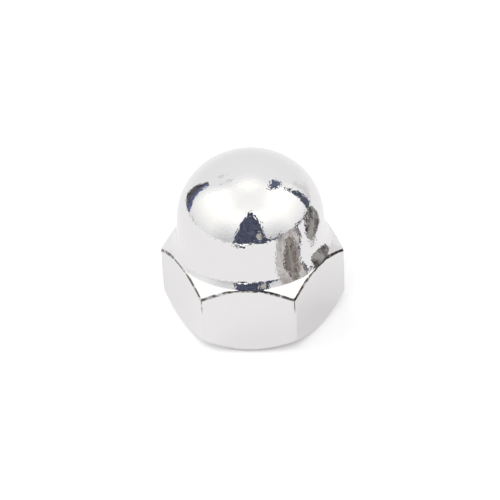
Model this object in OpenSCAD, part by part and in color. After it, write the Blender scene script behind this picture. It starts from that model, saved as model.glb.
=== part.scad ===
// Cap nut with a hexagon, a closed domed head and a blind tapped hole.
// One cold-formed piece. The bearing face lies on z = 0 and the dome points up.

/* [Hexagon] */
// Width across two opposite flats
across_flats = 16; // [14:0.1:19]
// Height of the hexagon, up to the ring where its top chamfer starts
hex_h = 8.22; // [6:0.02:9]
// Rounding of the six upright corners
corner_r = 0.4; // [0.1:0.05:1]
// Distance inside the flats at which the top chamfer starts
top_chamfer_inset = 0.05; // [0.05:0.01:0.3]
// Slope of the top chamfer, measured from the horizontal
top_chamfer_angle = 45; // [30:1:50]
// How far the edge of the round bearing face underneath stays inside the flats
bearing_inset = 0.65; // [0.2:0.05:1]
// Slope of the bottom chamfer, measured from the horizontal
base_chamfer_angle = 43; // [20:1:50]

/* [Domed head] */
// Height of the whole nut, bearing face to top of the dome
total_h = 17.8; // [17:0.1:20]
// How far the head's side, drawn straight down to hex_h, stays inside the flats
head_inset = 0.45; // [0.35:0.05:1]
// Draft of the head's side, left by the forming die
draft_angle = 4; // [0:0.5:6]
// How much smaller the radius of the shoulder arc is than the head's radius
shoulder_less = 1.15; // [0.6:0.05:2]
// How much larger the radius of the spherical crown is than the head's radius
crown_more = 0.45; // [0.1:0.05:1.2]
// Radius of the hollow fillet at the root of the head
root_r = 3; // [0.6:0.1:4]
// Slope of the collar that the fillet runs out into, measured from the vertical
collar_angle = 28; // [15:0.5:35]

/* [Tapped hole] */
// Nominal diameter of the thread
thread_d = 10; // [8:0.5:10.5]
// Pitch of the thread
pitch = 1.5; // [1:0.25:1.75]
// Metal left between the drill's point and the top of the dome
top_wall = 2.2; // [1.5:0.1:6]
// Included angle of the point that the drill leaves
drill_point_angle = 118; // [110:1:140]
// How far the countersink's rim stands outside the thread, on the radius
rim_clearance = 0.3; // [0.1:0.05:0.8]
// Included angle of the countersink
countersink_angle = 120; // [90:5:120]

/* [Hidden] */
$fn = 96;

// How far cutting shapes run past the faces that they cut
overrun = 1;
// Added to each rounding's radius, so that an arc and the line it blends into cross instead of touching
blend_overlap = 0.0001;

// Hexagon. The chamfer cones are drawn out to reach, past its corners.
flat_r = across_flats / 2;
corner_reach = flat_r / cos(30);
corner_centre_r = corner_reach - corner_r / cos(30);
ring_r = flat_r - top_chamfer_inset;
bearing_r = flat_r - bearing_inset;
reach = corner_reach + overrun;

// Tapped hole: the tapping drill is the nominal diameter less one pitch
drill_r = (thread_d - pitch) / 2;
rim_r = thread_d / 2 + rim_clearance;
countersink_depth = (rim_r - drill_r) / tan(countersink_angle / 2);
point_h = drill_r / tan(drill_point_angle / 2);
hole_depth = total_h - top_wall - point_h;

// Section of the head. Each point is [radius, height], and each normal points out of the metal.
head_r = flat_r - head_inset;
shoulder_r = head_r - shoulder_less;
crown_r = head_r + crown_more;
side_normal = [cos(draft_angle), sin(draft_angle)];
side_up = [-sin(draft_angle), cos(draft_angle)];
side_foot = [head_r, hex_h];
collar_normal = [cos(collar_angle), sin(collar_angle)];
collar_foot = [ring_r, hex_h];

// The collar rises from the ring where the chamfer starts. The fillet touches it and the side, and takes
// at most root_share of the collar's length.
root_share = 0.9;
root_corner = meet(side_normal, side_normal * side_foot, collar_normal, collar_normal * collar_foot);
fillet_r = min(root_r, root_share * norm(root_corner - collar_foot) / tan((collar_angle - draft_angle) / 2));
root_centre = meet(side_normal, side_normal * side_foot + fillet_r,
                   collar_normal, collar_normal * collar_foot + fillet_r);
root_top = root_centre - fillet_r * side_normal;
root_bottom = root_centre - fillet_r * collar_normal;

// The shoulder's arc touches the side from inside and the crown's sphere from inside
crown_centre = [0, total_h - crown_r];
shoulder_start = root_top - shoulder_r * side_normal - crown_centre;
along = side_up * shoulder_start;
side_l = sqrt(along * along - shoulder_start * shoulder_start + pow(crown_r - shoulder_r, 2)) - along;
shoulder_centre = crown_centre + shoulder_start + side_l * side_up;
shoulder_bottom = shoulder_centre + shoulder_r * side_normal;
crown_edge = crown_centre
    + (shoulder_centre - crown_centre) * crown_r / (crown_r - shoulder_r);

// Point where two lines cross, each given by its unit normal and its distance from the origin
function meet(n1, d1, n2, d2) =
    let (det = n1[0] * n2[1] - n1[1] * n2[0])
    [(d1 * n2[1] - n1[1] * d2) / det, (n1[0] * d2 - n2[0] * d1) / det];

// Half section of all that is round: bearing face, both chamfer cones, collar, fillet, side and dome
module turned_section() {
    union() {
        crown_sector();
        shoulder_disc();
        root_fillet();
        polygon([
            [0, 0],
            [bearing_r, 0],
            [reach, (reach - bearing_r) * tan(base_chamfer_angle)],
            [reach, hex_h - (reach - ring_r) * tan(top_chamfer_angle)],
            collar_foot,
            root_corner,
            shoulder_bottom,
            shoulder_centre,
            crown_centre
        ]);
    }
}

// What the fillet adds in the corner between the side and the collar
module root_fillet() {
    difference() {
        polygon([root_bottom, root_top, root_corner - [overrun, 0]]);
        translate(root_centre)
            circle(r = fillet_r + blend_overlap);
    }
}

// The part of the crown's circle between the axis and the place where the shoulder takes over
module crown_sector() {
    intersection() {
        translate(crown_centre)
            circle(r = crown_r);
        polygon([crown_centre, 2 * crown_edge - crown_centre, [0, total_h + overrun]]);
    }
}

// The shoulder's circle, as far as it lies on this side of the axis
module shoulder_disc() {
    intersection() {
        translate(shoulder_centre)
            circle(r = shoulder_r + blend_overlap);
        square([2 * head_r, total_h]);
    }
}

// Hexagonal bar with rounded corners, two of them on the X axis
module hex_bar() {
    linear_extrude(height = total_h + overrun) {
        union() {
            for (k = [0:5])
                rotate(60 * k)
                    translate([corner_centre_r, 0])
                        circle(r = corner_r + blend_overlap);
            polygon([for (k = [0:5]) each [
                corner_tangent(60 * k, -1),
                corner_tangent(60 * k, 1)
            ]]);
        }
    }
}

// Where a flat touches the rounding of the corner at angle a, before it (-1) or after it (1)
function corner_tangent(a, side) =
    corner_centre_r * [cos(a), sin(a)]
    + corner_r * [cos(a + 30 * side), sin(a + 30 * side)];

// Blind hole: countersunk rim, tapping bore and the cone left by the drill's point
module tapped_hole() {
    rotate_extrude()
        polygon([
            [0, -overrun],
            [rim_r + overrun * tan(countersink_angle / 2), -overrun],
            [drill_r, countersink_depth],
            [drill_r, hole_depth],
            [0, hole_depth + point_h]
        ]);
}

module cap_nut() {
    color([0.86, 0.86, 0.87])
        difference() {
            intersection() {
                hex_bar();
                rotate_extrude()
                    turned_section();
            }
            tapped_hole();
        }
}

cap_nut();
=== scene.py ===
import math

import bmesh
import bpy
from mathutils import Matrix, Vector


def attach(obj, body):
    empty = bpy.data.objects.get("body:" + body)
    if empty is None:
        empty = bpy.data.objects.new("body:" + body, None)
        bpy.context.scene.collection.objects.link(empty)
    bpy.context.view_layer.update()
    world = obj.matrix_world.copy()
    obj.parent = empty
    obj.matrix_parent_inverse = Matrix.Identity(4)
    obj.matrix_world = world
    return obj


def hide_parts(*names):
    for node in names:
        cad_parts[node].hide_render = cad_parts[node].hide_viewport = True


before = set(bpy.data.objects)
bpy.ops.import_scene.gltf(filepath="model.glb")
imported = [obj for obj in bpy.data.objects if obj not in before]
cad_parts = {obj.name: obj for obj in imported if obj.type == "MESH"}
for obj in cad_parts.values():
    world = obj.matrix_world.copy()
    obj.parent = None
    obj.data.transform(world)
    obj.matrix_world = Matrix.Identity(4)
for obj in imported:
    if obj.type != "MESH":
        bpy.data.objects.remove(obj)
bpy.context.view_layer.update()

mm = 0.001
print("frame loaded")


# Cap nut: lengths in mm, angles in degrees
nut = {
    "acrossFlats": 16.0,        # spanner size
    "hexHeight": 8.22,          # up to the ring where the top chamfer starts
    "cornerRadius": 0.4,        # upright corners, as the drawn bar has them
    "topInset": 0.05,           # the top chamfer starts this far inside the flats
    "topSlope": 45,
    "bearingInset": 0.65,       # the bearing face ends this far inside the flats
    "baseSlope": 43,
    "totalHeight": 17.8,
    "headInset": 0.45,
    "draft": 4,                 # the head's side leans in, as the die needs it
    "shoulderLess": 1.15,       # shoulder and crown radius, against the head's
    "crownMore": 0.45,
    "rootRadius": 3.0,          # hollow fillet at the root of the head
    "collarSlope": 28,          # collar that the fillet runs out into, from the vertical
    "collarFootRadius": 0.6,
    "edgeRadius": 0.5,          # tumbled edges of the hexagon
    "footShare": 0.3,           # how much of a narrow chamfer each of its two roundings may take
    "topEdgeShare": 0.5,
    "wornChamfer": 0.13,        # a chamfer narrower than this is worn away
    "darkenedTip": 0.45,            # degrees to each side of a corner, where its upper end is darkened: wear, with the dark reflection painted in
    "tipRows": 3,               # rows of points under the top edge that this painted darkening takes in
    "faceEdgeRadius": 0.12,     # edge of the bearing face
    "rimEdgeRadius": 0.06,      # edges of the countersink and of the drill's point
    "columns": 240,             # points around the nut
    "crowding": 0.85,           # how much closer the columns stand at the corners
    "crownSteps": 18,
    "shoulderSteps": 24,
    "roundingSteps": [14, 5, 8, 7, 4, 3, 3, 3],     # from the root fillet to the drill's point
    "runPoints": [3, 1, 2, 5, 2, 2, 1, 1, 1],       # on the straight runs between them
    "guardGap": 0.03,           # from a rounding to the point that keeps a run's shading flat
    "collarGap": 0.02,          # between the points that crowd where a chamfer is worn away
    "mergeGap": 0.00005,
    "sharpAngle": 32,
}

# Tapped hole, M10 x 1.5; the shares are parts of the pitch
hole = {
    "threadDiameter": 10.0,
    "pitch": 1.5,
    "rimClearance": 0.3,
    "countersinkAngle": 120,
    "pointAngle": 118,
    "topWall": 2.2,             # metal over the drill's point
    "flankAngle": 30,           # of each flank of the thread
    "rootShare": 0.125,         # flat at the root of the nut's thread
    "depthShare": 0.68,         # reaches past the bore, so that no two faces coincide
    "startShare": 1.2,          # the ridge starts this far below the bearing face
    "threadEnd": 10.9,          # the last full turn; the tap's lead runs out above it
    "leadTurns": 1.25,
    "leadSink": 0.03,           # the lead ends this far inside the bore
    "stepsPerTurn": 60,
}


def cosd(a):
    return math.cos(math.radians(a))


def sind(a):
    return math.sin(math.radians(a))


def tand(a):
    return math.tan(math.radians(a))


# Degrees from the nearest corner; two of the corners lie on the X axis
def fromCorner(angle):
    return (angle + 30) % 60 - 30


# Half width of the hexagon in one direction, with its corners rounded
def outlineRadius(angle):
    flat = nut["acrossFlats"] / 2
    radius = nut["cornerRadius"]
    a = fromCorner(angle)
    centre = (flat - radius) / cosd(30)
    touch = math.degrees(math.atan2(radius * sind(30), centre + radius * cosd(30)))
    if abs(a) < touch:
        return centre * cosd(a) + math.sqrt(radius ** 2 - (centre * sind(a)) ** 2)
    return flat / cosd(30 - abs(a))


# Where two lines cross, each given by its unit normal and distance from the origin
def crossing(n1, d1, n2, d2):
    det = n1.x * n2.y - n1.y * n2.x
    return Vector(((d1 * n2.y - n1.y * d2) / det, (n1.x * d2 - n2.x * d1) / det))


# The head's tangent chain of crown, shoulder, drafted side, root fillet and collar
def headChain():
    flat = nut["acrossFlats"] / 2
    headR = flat - nut["headInset"]
    shoulderR = headR - nut["shoulderLess"]
    crownR = headR + nut["crownMore"]
    side = Vector((cosd(nut["draft"]), sind(nut["draft"])))
    up = Vector((-sind(nut["draft"]), cosd(nut["draft"])))
    collar = Vector((cosd(nut["collarSlope"]), sind(nut["collarSlope"])))
    foot = Vector((headR, nut["hexHeight"]))
    ring = Vector((flat - nut["topInset"], nut["hexHeight"]))
    rootR = nut["rootRadius"]
    root = crossing(side, side.dot(foot) + rootR, collar, collar.dot(ring) + rootR)
    crown = Vector((0, nut["totalHeight"] - crownR))
    start = root - (rootR + shoulderR) * side - crown
    along = up.dot(start)
    length = math.sqrt(along ** 2 - start.dot(start) + (crownR - shoulderR) ** 2) - along
    shoulder = crown + start + length * up
    return {
        "crown": crown,
        "crownR": crownR,
        "joint": math.degrees(math.atan2(shoulder.y - crown.y, shoulder.x - crown.x)),
        "shoulder": shoulder,
        "shoulderR": shoulderR,
        "sideTop": shoulder + shoulderR * side,
        "rootCorner": crossing(side, side.dot(foot), collar, collar.dot(ring)),
        "ring": ring,
    }


def arc(centre, radius, first, last, steps):
    angles = [first + (last - first) * i / steps for i in range(steps + 1)]
    return [centre + radius * Vector((cosd(a), sind(a))) for a in angles]


# A straight run with a guard point close to each end, so that its shading stays flat
def straight(a, b, inner):
    guard = min(nut["guardGap"], (b - a).length / 4)
    run = (b - a).normalized()
    first = a + guard * run
    last = b - guard * run
    return [first] + [first.lerp(last, i / (inner + 1)) for i in range(1, inner + 1)] + [last]


# An arc that rounds off the corner of the path a, corner, b
def rounded(a, corner, b, radius, steps):
    back = (a - corner).normalized()
    on = (b - corner).normalized()
    half = back.angle(on) / 2
    centre = corner + (back + on).normalized() * radius / math.sin(half)
    first = corner + back * radius / math.tan(half) - centre
    turn = math.copysign(math.pi - 2 * half, first.x * on.y - first.y * on.x)
    return [centre + Matrix.Rotation(turn * i / steps, 2) @ first for i in range(steps + 1)]


# Section of the nut along one column, from the top of the dome round to the drill's point,
# and its rows on the top edge
def meridian(outline, head):
    bearingR = nut["acrossFlats"] / 2 - nut["bearingInset"]
    boreR = (hole["threadDiameter"] - hole["pitch"]) / 2
    rimR = hole["threadDiameter"] / 2 + hole["rimClearance"]
    sink = (rimR - boreR) / tand(hole["countersinkAngle"] / 2)
    point = boreR / tand(hole["pointAngle"] / 2)
    apex = nut["totalHeight"] - hole["topWall"]

    # The chamfer is narrow in the middle of a flat, where tumbling has worn it away
    over = outline - head["ring"].x
    chamfer = over / cosd(nut["topSlope"])
    worn = chamfer < nut["wornChamfer"]
    if worn:
        down = (head["ring"] - head["rootCorner"]).normalized()
        topEdge = head["ring"] + down * over / down.x
        topEdgeR = nut["edgeRadius"]
    else:
        topEdge = Vector((outline, nut["hexHeight"] - over * tand(nut["topSlope"])))
        topEdgeR = min(nut["edgeRadius"], nut["topEdgeShare"] * chamfer / tand(nut["topSlope"] / 2))
    turn = nut["topSlope"] - nut["collarSlope"]
    footR = min(nut["collarFootRadius"], nut["footShare"] * chamfer / tand(turn / 2))

    corners = [
        head["sideTop"],
        head["rootCorner"],
        head["ring"],
        topEdge,
        Vector((outline, (outline - bearingR) * tand(nut["baseSlope"]))),
        Vector((bearingR, 0)),
        Vector((rimR, 0)),
        Vector((boreR, sink)),
        Vector((boreR, apex - point)),
        Vector((0, apex)),
    ]
    radii = [nut["rootRadius"], footR, topEdgeR, nut["edgeRadius"], nut["faceEdgeRadius"]]
    radii += [nut["rimEdgeRadius"]] * 3
    bends = [rounded(*corners[i:i + 3], radii[i], nut["roundingSteps"][i]) for i in range(len(radii))]
    if worn:
        crowded = range(nut["roundingSteps"][1] + 1, 0, -1)
        bends[1] = [bends[2][0] - down * nut["collarGap"] * k for k in crowded]
    bends.append([corners[-1]])

    path = arc(head["crown"], head["crownR"], 90, head["joint"], nut["crownSteps"])
    path += arc(head["shoulder"], head["shoulderR"], head["joint"], nut["draft"], nut["shoulderSteps"])[1:]
    for i, (bend, inner) in enumerate(zip(bends, nut["runPoints"])):
        path += straight(path[-1], bend[0], inner) + bend
        if i == 2:
            edgeRows = range(len(path) - len(bend) + 1, len(path) - 1)
    return path, edgeRows


# The nut is one ring of edges, extruded row by row along its section and shaped to it
def buildNut():
    head = headChain()
    bm = bmesh.new()
    column = bm.verts.layers.int.new("column")
    # 1 on the rounded top edges and the corners' upper ends: there the plate is darkened, partly as wear,
    # partly as painted dark reflection
    darkening = bm.verts.layers.float.new("edgeWearAndPaintedReflection")
    count = nut["columns"]
    ring = bmesh.ops.create_circle(bm, cap_ends=False, segments=count, radius=1)["verts"]
    ring.sort(key=lambda v: math.atan2(v.co.y, v.co.x))
    angles = []
    sections = []
    for i, v in enumerate(ring):
        even = 360 * i / count
        angles.append(even - nut["crowding"] * math.degrees(sind(6 * even)) / 6)
        section, edgeRows = meridian(outlineRadius(angles[-1]), head)
        sections.append(section)
        v[column] = i

    def place(verts, row):
        belowEdge = edgeRows[-1] < row <= edgeRows[-1] + nut["tipRows"]
        for v in verts:
            a = angles[v[column]]
            r, z = sections[v[column]][row]
            v.co = (r * cosd(a), r * sind(a), z)
            # the corners' upper ends get the same painted darkening as the edges
            darkenedTip = belowEdge and abs(fromCorner(a)) < nut["darkenedTip"]
            v[darkening] = 1.0 if row in edgeRows or darkenedTip else 0.0

    place(ring, 0)
    edges = list(bm.edges)
    for row in range(1, len(sections[0])):
        made = bmesh.ops.extrude_edge_only(bm, edges=edges)["geom"]
        verts = {g for g in made if isinstance(g, bmesh.types.BMVert)}
        edges = [g for g in made if isinstance(g, bmesh.types.BMEdge) and set(g.verts) <= verts]
        place(verts, row)
    bmesh.ops.remove_doubles(bm, verts=bm.verts, dist=nut["mergeGap"])     # closes both poles
    bm.verts.layers.int.remove(bm.verts.layers.int["column"])
    bmesh.ops.recalc_face_normals(bm, faces=bm.faces)
    return bm


# What the tap takes away: one ridge of the thread's form, wound up the bore
def buildThreadCut():
    pitch = hole["pitch"]
    outer = hole["threadDiameter"] / 2
    inner = outer - hole["depthShare"] * pitch
    half = hole["rootShare"] * pitch / 2
    foot = half + (outer - inner) * tand(hole["flankAngle"])
    bm = bmesh.new()
    section = bmesh.ops.create_circle(bm, cap_ends=True, segments=4, radius=1)["verts"]
    section.sort(key=lambda v: math.atan2(v.co.y, v.co.x))
    for v, (r, z) in zip(section, [(inner, -foot), (outer, -half), (outer, half), (inner, foot)]):
        v.co = (r, 0, z - hole["startShare"] * pitch)
    turns = hole["threadEnd"] / pitch + hole["startShare"] + hole["leadTurns"]
    steps = round(turns * hole["stepsPerTurn"])
    bmesh.ops.spin(bm, geom=list(bm.verts) + list(bm.edges) + list(bm.faces), cent=(0, 0, 0),
                   axis=(0, 0, 1), dvec=(0, 0, pitch * turns / steps), angle=2 * math.pi * turns,
                   steps=steps, use_merge=False, use_duplicate=False)

    # The tap's lead: the last turns grow shallow until they end inside the bore
    boreR = outer - pitch / 2
    for v in bm.verts:
        r = math.hypot(v.co.x, v.co.y)
        lead = (v.co.z - hole["threadEnd"]) / (pitch * hole["leadTurns"])
        if r > boreR and lead > 0:
            shrunk = outer - (outer - boreR + hole["leadSink"]) * min(lead, 1)
            v.co.x *= shrunk / r
            v.co.y *= shrunk / r
    bmesh.ops.recalc_face_normals(bm, faces=bm.faces)
    return bm


def makeObject(name, bm, material):
    mesh = bpy.data.meshes.new(name)
    bm.to_mesh(mesh)
    bm.free()
    mesh.materials.append(material)
    piece = bpy.data.objects.new(name, mesh)
    bpy.context.scene.collection.objects.link(piece)
    return piece


def linear(hexColour):
    channels = [int(hexColour[i:i + 2], 16) / 255 for i in (1, 3, 5)]
    return tuple(c / 12.92 if c <= 0.04045 else ((c + 0.055) / 1.055) ** 2.4 for c in channels) + (1,)


def addNode(tree, kind, settings=None, links=None):
    node = tree.nodes.new(kind)
    for key, value in (settings or {}).items():
        if isinstance(key, str) and hasattr(node, key):
            setattr(node, key, value)
        else:
            node.inputs[key].default_value = value
    for key, source in (links or {}).items():
        tree.links.new(source, node.inputs[key])
    return node


def newMaterial(name):
    material = bpy.data.materials.new(name)
    material.use_nodes = True
    material.node_tree.nodes.clear()
    return material, material.node_tree


plate = {
    "colour": "#EAE9EA",        # nickel plate under bright room light
    "roughness": 0.035,
    "pitSize": 0.32,            # mm across one pit of the plated, cold-formed skin
    "pitDepth": 0.0135,         # mm
    "edgeWearAndReflectionColour": "#5C544E",    # worn plate along the tumbled edges, painted dark for the dark reflection they show
    "edgeShare": 0.93,
    "edgeGrain": 0.5,           # mm between patches of that darkening
    "edgePatches": (0.32, 0.52),    # noise levels between which the darkening sets in
}


# Bright nickel plate on cold-formed steel: a mirror whose fine waviness frays what it reflects
def brightNickelPlate():
    material, tree = newMaterial("bright_nickel_plate")
    spot = addNode(tree, "ShaderNodeTexCoord").outputs["Object"]
    pits = addNode(tree, "ShaderNodeTexNoise",
                   {"Scale": 1 / (plate["pitSize"] * mm), "Detail": 1.0, "Roughness": 0.85},
                   {"Vector": spot})
    bump = addNode(tree, "ShaderNodeBump", {"Strength": 1.0, "Distance": plate["pitDepth"] * mm},
                   {"Height": pits.outputs["Fac"]})
    # Patchy darkening along the edges: worn plate, with the dark reflection along them painted into the
    # colour
    edge = addNode(tree, "ShaderNodeAttribute", {"attribute_name": "edgeWearAndPaintedReflection"})
    grain = addNode(tree, "ShaderNodeTexNoise", {"Scale": 1 / (plate["edgeGrain"] * mm), "Detail": 3.0},
                    {"Vector": spot})
    low, high = plate["edgePatches"]
    patches = addNode(tree, "ShaderNodeMapRange",
                      {"From Min": low, "From Max": high, "To Max": plate["edgeShare"]},
                      {"Value": grain.outputs["Fac"]})
    worn = addNode(tree, "ShaderNodeMath", {"operation": "MULTIPLY"},
                   {0: edge.outputs["Fac"], 1: patches.outputs["Result"]})
    colour = addNode(tree, "ShaderNodeMix",
                     {"data_type": "RGBA", 6: linear(plate["colour"]), 7: linear(plate["edgeWearAndReflectionColour"])},
                     {"Factor": worn.outputs[0]})
    shader = addNode(tree, "ShaderNodeBsdfPrincipled", {"Metallic": 1.0, "Roughness": plate["roughness"]},
                     {"Base Color": colour.outputs[2], "Normal": bump.outputs["Normal"]})
    addNode(tree, "ShaderNodeOutputMaterial", None, {"Surface": shader.outputs["BSDF"]})
    return material


# The blank with its thread cut, as one mesh in metres
def buildTappedNut():
    nickel = brightNickelPlate()
    blank = makeObject("nut_blank", buildNut(), nickel)
    threadCut = makeObject("thread_cut", buildThreadCut(), nickel)
    cut = blank.modifiers.new("thread", "BOOLEAN")
    cut.operation = "DIFFERENCE"
    cut.solver = "EXACT"
    cut.object = threadCut
    done = bpy.data.meshes.new_from_object(blank.evaluated_get(bpy.context.evaluated_depsgraph_get()))
    for spare in (blank, threadCut):
        bpy.data.objects.remove(spare)
    done.name = "cap_nut_piece"
    done.transform(Matrix.Scale(mm, 4))
    done.shade_smooth()
    done.set_sharp_from_angle(angle=math.radians(nut["sharpAngle"]))
    return done


tapped = buildTappedNut()
capNut = bpy.data.objects.new("cap_nut_piece", tapped)
bpy.context.scene.collection.objects.link(capNut)
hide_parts("cap_nut")
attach(capNut, "root")
print("nut built:", len(tapped.vertices), "vertices,", len(tapped.polygons), "faces")


# Camera, as fitted to the photo's view: lengths in mm, angles in degrees
view = {
    "target": (-0.2072, -0.0182, 6.90),
    "distance": 294.7,
    "turn": 5.031,
    "down": 38.875,
    "roll": -3.146,
    "lens": 211.64,
    "sensor": 36,
    "near": 10,
    "far": 100000,
}


def placeCamera():
    turn, down, roll = view["turn"], view["down"], view["roll"]
    back = Vector((sind(turn) * cosd(down), -cosd(turn) * cosd(down), sind(down)))
    right = Vector((cosd(turn), sind(turn), 0))
    up = back.cross(right)
    rolledRight = cosd(roll) * right + sind(roll) * up
    rolledUp = cosd(roll) * up - sind(roll) * right
    place = (Vector(view["target"]) + view["distance"] * back) * mm
    data = bpy.data.cameras.new("camera")
    data.lens = view["lens"]
    data.sensor_width = view["sensor"]
    data.clip_start = view["near"] * mm
    data.clip_end = view["far"] * mm
    camera = bpy.data.objects.new("camera", data)
    camera.matrix_world = Matrix((
        (rolledRight.x, rolledUp.x, back.x, place.x),
        (rolledRight.y, rolledUp.y, back.y, place.y),
        (rolledRight.z, rolledUp.z, back.z, place.z),
        (0, 0, 0, 1)))
    bpy.context.scene.collection.objects.link(camera)
    bpy.context.scene.camera = camera


placeCamera()
print("camera placed")


# Pale floor, pure white to the camera
ground = {
    "colour": "#F5F4F4",
    "glow": 0.25,
    "mirroredGlow": 0.15,       # share of that glow that the plate reflects
    "halfWidth": 3000,          # mm
}


def buildFloor():
    material, tree = newMaterial("pale_floor")
    path = addNode(tree, "ShaderNodeLightPath")
    mirrored = addNode(tree, "ShaderNodeMath", {"operation": "MULTIPLY", 1: ground["mirroredGlow"]},
                       {0: path.outputs["Is Glossy Ray"]})
    sees = addNode(tree, "ShaderNodeMath", {"operation": "MAXIMUM"},
                   {0: path.outputs["Is Camera Ray"], 1: mirrored.outputs[0]})
    sees = addNode(tree, "ShaderNodeMath", {"operation": "MAXIMUM"},
                   {0: sees.outputs[0], 1: path.outputs["Is Transmission Ray"]})
    glow = addNode(tree, "ShaderNodeMath", {"operation": "MULTIPLY", 1: ground["glow"]},
                   {0: sees.outputs[0]})
    shader = addNode(tree, "ShaderNodeBsdfPrincipled",
                     {"Base Color": linear(ground["colour"]), "Roughness": 0.9,
                      "Specular IOR Level": 0.0, "Emission Color": (1, 1, 1, 1)},
                     {"Emission Strength": glow.outputs[0]})
    addNode(tree, "ShaderNodeOutputMaterial", None, {"Surface": shader.outputs["BSDF"]})
    bm = bmesh.new()
    bmesh.ops.create_grid(bm, x_segments=1, y_segments=1, size=ground["halfWidth"] * mm)
    makeObject("floor", bm, material)


# White all round, but the floor's own light comes from this lower, even level
room = {"strength": 0.42}


def buildWorld():
    world = bpy.data.worlds.new("room")
    world.use_nodes = True
    tree = world.node_tree
    tree.nodes.clear()
    path = addNode(tree, "ShaderNodeLightPath")
    strength = addNode(tree, "ShaderNodeMapRange", {"To Min": 1.0, "To Max": room["strength"]},
                       {"Value": path.outputs["Is Diffuse Ray"]})
    shade = addNode(tree, "ShaderNodeBackground", {"Color": (1, 1, 1, 1)},
                    {"Strength": strength.outputs["Result"]})
    addNode(tree, "ShaderNodeOutputWorld", None, {"Surface": shade.outputs["Background"]})
    bpy.context.scene.world = world


# Turn is counted to the right of the camera, height from the horizon
def direction(turn, height):
    a = view["turn"] - 90 + turn
    return Vector((cosd(height) * cosd(a), cosd(height) * sind(a), sind(height)))


# Soft lamps that light the floor: lengths in mm, and watts by turn
lamps = {
    "height": 56,
    "distance": 3000,
    "width": 1400,
    "watts": {-150: 10.8, -90: 15.6, -30: 13.2, 10: 16.5, 60: 12.3},
}


# The plate reflects the tent instead of them
def buildLamps():
    for i, (turn, watts) in enumerate(lamps["watts"].items()):
        data = bpy.data.lights.new("soft_lamp_" + str(i + 1), "AREA")
        data.shape = "DISK"
        data.size = lamps["width"] * mm
        data.energy = watts
        lamp = bpy.data.objects.new(data.name, data)
        way = direction(turn, lamps["height"])
        lamp.location = way * lamps["distance"] * mm
        lamp.rotation_euler = way.to_track_quat("Z", "Y").to_euler()
        lamp.visible_glossy = False
        bpy.context.scene.collection.objects.link(lamp)


# Cloth light tent that the plate reflects: lengths in mm, angles in degrees
tent = {
    "radius": 600,
    "foot": -20,                # height of its lower edge, under the floor
    "eye": 12,                  # height in the nut from which the directions are counted
    # brightness of the cloth by height angle, in front, to the sides and behind
    "front": [(-5, 0.60), (8, 0.70), (25, 0.96), (42, 1.28), (55, 1.26), (62, 1.12), (83, 1.06), (90, 1.14)],
    "side": [(-5, 0.86), (3, 0.91), (36, 1.28), (60, 1.30), (72, 1.12), (81, 1.10), (90, 1.17)],
    "back": [(-5, 0.95), (15, 0.91), (58, 0.95), (66, 1.02), (76, 1.24), (84, 1.24), (90, 1.17)],
    "frontBlend": (65, 40),     # turns between which the sides' cloth passes into the front's
    "backBlend": (124, 108),    # and the back's into the sides'
    "lowest": -10,              # height angle at the start of the colour ramps
    "rampTop": 2.0,             # brightness that stands for 1 in the ramps
    "warmth": 0.045,            # how much less blue the brightest cloth is
    "warmFrom": 0.95,           # brightness where that sets in
    "warmSpan": 0.3,
}


# Cloth of the tent, its glow painted brighter where the lamps shine through it
def tentCloth():
    material, tree = newMaterial("tent_cloth")
    spot = addNode(tree, "ShaderNodeTexCoord").outputs["Object"]
    way = addNode(tree, "ShaderNodeVectorMath", {"operation": "NORMALIZE"}, {0: spot}).outputs["Vector"]
    parts = addNode(tree, "ShaderNodeSeparateXYZ", None, {0: way})
    height = addNode(tree, "ShaderNodeMath", {"operation": "ARCSINE"}, {0: parts.outputs["Z"]})
    height = addNode(tree, "ShaderNodeMapRange",
                     {"From Min": math.radians(tent["lowest"]), "From Max": math.pi / 2},
                     {"Value": height.outputs[0]})

    tones = {}
    for part in ("front", "side", "back"):
        ramp = addNode(tree, "ShaderNodeValToRGB", None, {"Fac": height.outputs["Result"]})
        stops = ramp.color_ramp.elements
        stops.remove(stops[-1])
        for i, (angle, value) in enumerate(tent[part]):
            place = (angle - tent["lowest"]) / (90 - tent["lowest"])
            stop = stops.new(place) if i else stops[0]
            stop.position = place
            grey = value / tent["rampTop"]
            warm = 1 - tent["warmth"] * min(max((value - tent["warmFrom"]) / tent["warmSpan"], 0), 1)
            stop.color = (grey, grey, grey * warm, 1)
        tones[part] = ramp.outputs["Color"]

    # Cosine of the turn, from which the three parts are blended
    ahead = addNode(tree, "ShaderNodeVectorMath", {"operation": "DOT_PRODUCT", 1: direction(0, 0)}, {0: way})
    level = addNode(tree, "ShaderNodeMath", {"operation": "MULTIPLY"},
                    {0: parts.outputs["Z"], 1: parts.outputs["Z"]})
    level = addNode(tree, "ShaderNodeMath", {"operation": "SUBTRACT", 0: 1.0}, {1: level.outputs[0]})
    level = addNode(tree, "ShaderNodeMath", {"operation": "SQRT"}, {0: level.outputs[0]})
    turn = addNode(tree, "ShaderNodeMath", {"operation": "DIVIDE"},
                   {0: ahead.outputs["Value"], 1: level.outputs[0]})
    cloth = tones["back"]
    for blend, part in (("backBlend", "side"), ("frontBlend", "front")):
        first, last = tent[blend]
        share = addNode(tree, "ShaderNodeMapRange", {"From Min": cosd(first), "From Max": cosd(last)},
                        {"Value": turn.outputs[0]})
        mix = addNode(tree, "ShaderNodeMix", {"data_type": "RGBA"},
                      {"Factor": share.outputs["Result"], 6: cloth, 7: tones[part]})
        cloth = mix.outputs[2]
    shader = addNode(tree, "ShaderNodeEmission", {"Strength": tent["rampTop"]}, {"Color": cloth})
    addNode(tree, "ShaderNodeOutputMaterial", None, {"Surface": shader.outputs["Emission"]})
    return material


# Only the plate's reflections see it; it casts no shadow and no light
def reflectedOnly(piece):
    for kind in ("camera", "diffuse", "transmission", "volume_scatter", "shadow"):
        setattr(piece, "visible_" + kind, False)


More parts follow.
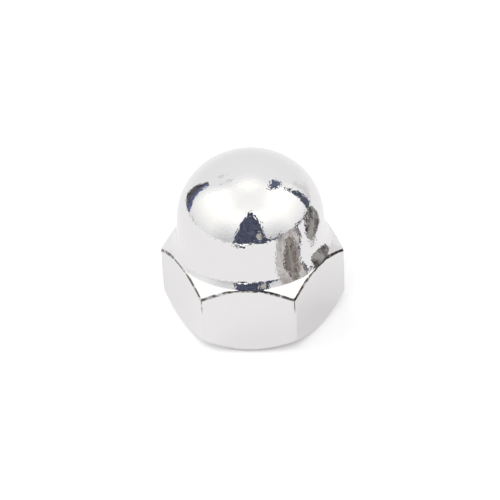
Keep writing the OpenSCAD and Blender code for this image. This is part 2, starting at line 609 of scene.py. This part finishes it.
def buildTent():
    bm = bmesh.new()
    bmesh.ops.create_icosphere(bm, subdivisions=5, radius=tent["radius"] * mm)
    bmesh.ops.bisect_plane(bm, geom=list(bm.verts) + list(bm.edges) + list(bm.faces),
                           plane_co=(0, 0, tent["foot"] * mm), plane_no=(0, 0, 1), clear_inner=True)
    reflectedOnly(makeObject("light_tent", bm, tentCloth()))


# The streaks that cover openings and cards
streaks = {
    "stretch": 0.3,             # scale of the noise upwards, so that they are longer than wide
    "toneLevels": (0.38, 0.62),     # noise levels between the dark and the light tone
    "coverLevels": (0.6, 0.42),     # and between the least cover and full cover
}


# Two tones in upright streaks; the streaks also thin the card out, down to its least cover
def streakedGlow(name, dark, light, size, cover, strength=1.0):
    material, tree = newMaterial(name)
    spot = addNode(tree, "ShaderNodeTexCoord").outputs["Object"]
    upright = addNode(tree, "ShaderNodeMapping", {"Scale": (1, 1, streaks["stretch"])}, {"Vector": spot})
    noise = addNode(tree, "ShaderNodeTexNoise",
                    {"Scale": 1 / (size * mm), "Detail": 4.0, "Roughness": 0.6},
                    {"Vector": upright.outputs["Vector"]})
    low, high = streaks["toneLevels"]
    tone = addNode(tree, "ShaderNodeMapRange", {"From Min": low, "From Max": high},
                   {"Value": noise.outputs["Fac"]})
    colour = addNode(tree, "ShaderNodeMix", {"data_type": "RGBA", 6: linear(dark), 7: linear(light)},
                     {"Factor": tone.outputs["Result"]})
    glow = addNode(tree, "ShaderNodeEmission", {"Strength": strength}, {"Color": colour.outputs[2]})
    clear = addNode(tree, "ShaderNodeBsdfTransparent")
    thin, full = streaks["coverLevels"]
    share = addNode(tree, "ShaderNodeMapRange", {"From Min": thin, "From Max": full, "To Min": cover},
                    {"Value": noise.outputs["Fac"]})
    mix = addNode(tree, "ShaderNodeMixShader", None,
                  {0: share.outputs["Result"], 1: clear.outputs[0], 2: glow.outputs[0]})
    addNode(tree, "ShaderNodeOutputMaterial", None, {"Surface": mix.outputs[0]})
    return material


def buildCard(name, corners, tones):
    bm = bmesh.new()
    bm.faces.new([bm.verts.new(corner * mm) for corner in corners])
    bmesh.ops.triangulate(bm, faces=bm.faces)
    reflectedOnly(makeObject(name, bm, streakedGlow(name + "_glow", *tones)))


# What shows through the tent's openings or hangs before its cloth, as painted glow that only reflections
# see: share of the tent's radius, tones (dark, light, mm between streaks, least cover), and outline as
# (turn, height) in degrees
openings = {
    "front_opening": (0.70, ("#393D4F", "#62677A", 20, 1), [
        (-27, 1), (-26, 10), (-21, 29), (-18, 36), (-14, 44), (-8, 50), (-5, 56), (0, 58), (4, 57),
        (7, 52), (16, 42), (19, 30), (21, 28), (20, 18), (21, 10), (24, 5.5), (35, 3.3), (40, 3.8),
        (45, 7.6), (47, 6.4), (42, 1.2), (35, 0.2), (-18, 0)]),
    "front_screen": (0.62, ("#8A867E", "#FFF8E8", 9, 0.55), [
        (8, 16), (9.5, 20), (12, 21), (15, 17), (15, 9), (13, 6), (9, 6.5), (7.5, 10)]),
    "right_opening": (0.70, ("#3B3F50", "#676C7A", 20, 1), [
        (101, 3), (103, 10), (104, 22), (112, 46), (116, 2), (114, -3), (108, -2)]),
    "top_opening": (0.70, ("#4A4E66", "#7C8094", 25, 1), [
        (102, 62), (110, 66), (118, 61), (122, 60), (131, 52), (128, 46), (117, 44), (108, 56)]),
    "right_seam": (0.66, ("#2A2A34", "#4C4A54", 20, 1), [
        (70, 0.6), (83, 0), (91, -1), (97, -1), (97, 1.4), (70, 3.2)]),
    "right_screen": (0.60, ("#E2E0E0", "#F4F4F6", 40, 0.5), [
        (117, -2), (117, 14), (119, 24), (124, 28), (130, 24), (135, 10), (134, -2)]),
    "left_ridge": (0.60, ("#B4B2B8", "#E6E6EA", 12, 0.5), [
        (-125, 48.5), (-137, 55), (-145, 58), (-146, 60), (-136, 58), (-129, 54.5), (-124, 50.5)]),
    "back_ridge": (0.60, ("#C8C8CC", "#F0F0F2", 10, 0.3), [
        (-139, 34), (-145, 40), (-147, 46), (-142, 47), (-138, 43)]),
}


# Each is a flat card far out, which covers the given directions
def buildOpenings():
    for name, (share, tones, outline) in openings.items():
        rays = [direction(turn, height) for turn, height in outline]
        facing = sum(rays, Vector()).normalized()
        away = share * tent["radius"]
        buildCard(name, [Vector((0, 0, tent["eye"])) + ray * away / ray.dot(facing) for ray in rays], tones)


# Cards that stand close to the nut, as painted glow that only reflections see: turn, distance in mm, tones
# (a fifth is their strength), and outline as (sideways, up) in mm on an upright plane
cards = {
    "left_opening": (-125, 20, ("#565A74", "#747AA0", 1.5, 1), [
        (0.7, 12.9), (0.6, 16.4), (1.1, 18.1), (0.8, 21.7), (1.2, 25.9), (2.2, 28.2), (6.5, 18.3),
        (7.8, 16), (9.4, 14.1), (9.2, 12.6), (6.8, 12.2)]),
    "left_shade": (-125, 19.8, ("#2A2A32", "#6C6866", 1, 0.8), [
        (0.3, 12.6), (0.5, 26), (1.2, 26.8), (2.6, 18), (3.6, 15.8), (5.6, 13.6), (6.2, 12.2)]),
    "left_seam": (-100, 60, ("#4A4642", "#8E8A86", 4, 0.5), [
        (-7.5, 10), (9, 10.5), (14, 11.2), (14, 12), (-3.2, 11.7), (-7.5, 11.2)]),
    "front_strip": (-15, 60, ("#FFFFFF", "#FFFFFF", 4, 1, 1.5), [
        (-10.5, 11.8), (-6.2, 10.2), (-0.5, 9.6), (10.5, 10.2), (10.5, 13), (2.4, 12.2), (-6.2, 12.6)]),
    "front_seam": (-15, 59.8, ("#1E1E26", "#3C3A40", 3, 1), [
        (-12.4, 12), (-6.2, 10.4), (6, 8.8), (6, 5.6), (-0.5, 6.2), (-6.2, 7.3), (-12.4, 9.8)]),
    "side_card": (57, 20.5, ("#A59F9B", "#C9C4C0", 1.6, 0.75), [
        (-11.2, 0), (-9.9, 13.3), (-8.1, 13.7), (-6.4, 14.8), (1.6, 14.5), (2.4, 12.4), (2.9, 7),
        (2.7, 2.2), (2.3, 0)]),
    "side_card_core": (57, 20.4, ("#5A5350", "#A0988F", 1.5, 0.6), [
        (-6.6, 0), (-6.2, 3.7), (-4.9, 7.2), (-4.8, 11.1), (-3.3, 12), (-1.5, 10.5), (-0.1, 7.4),
        (0.5, 3.2), (0.6, 0)]),
    "side_card_edge": (57, 20.3, ("#45414F", "#8A858E", 1.2, 1), [
        (0.9, 14.4), (1.5, 12.4), (1.8, 0.9), (2.4, 0.9), (2.8, 2.2), (3.1, 7), (2.6, 12.4), (1.7, 14.5)]),
    "rear_card": (105, 21, ("#403D3D", "#827E7A", 1.6, 0.75), [
        (-10.9, 3.8), (-11.5, 6.8), (-11.3, 10.1), (-10, 12.5), (-8, 14.4), (-4.5, 14.3), (-1.9, 12.7),
        (0.1, 9.2), (1.8, 5.4), (1.9, 2.6), (-3, 0), (-5.2, -0.4), (-7.4, 0), (-9.6, 1.6)]),
    "rear_card_light": (105, 20.8, ("#8A857E", "#D6D3CE", 1, 0.5), [
        (-9.7, 6.7), (-9.9, 3.7), (-8.4, 0), (-5, 0), (-4.3, 6.1), (-6.8, 7.1)]),
}


def buildNearCards():
    for name, (turn, distance, tones, outline) in cards.items():
        out = direction(turn, 0)
        across = Vector((-out.y, out.x, 0))
        corners = [out * distance + across * u + Vector((0, 0, v)) for u, v in outline]
        buildCard(name, corners, tones)


buildFloor()
buildWorld()
buildLamps()
buildTent()
buildOpenings()
buildNearCards()
bpy.context.scene.view_settings.view_transform = "Standard"
print("stage built")
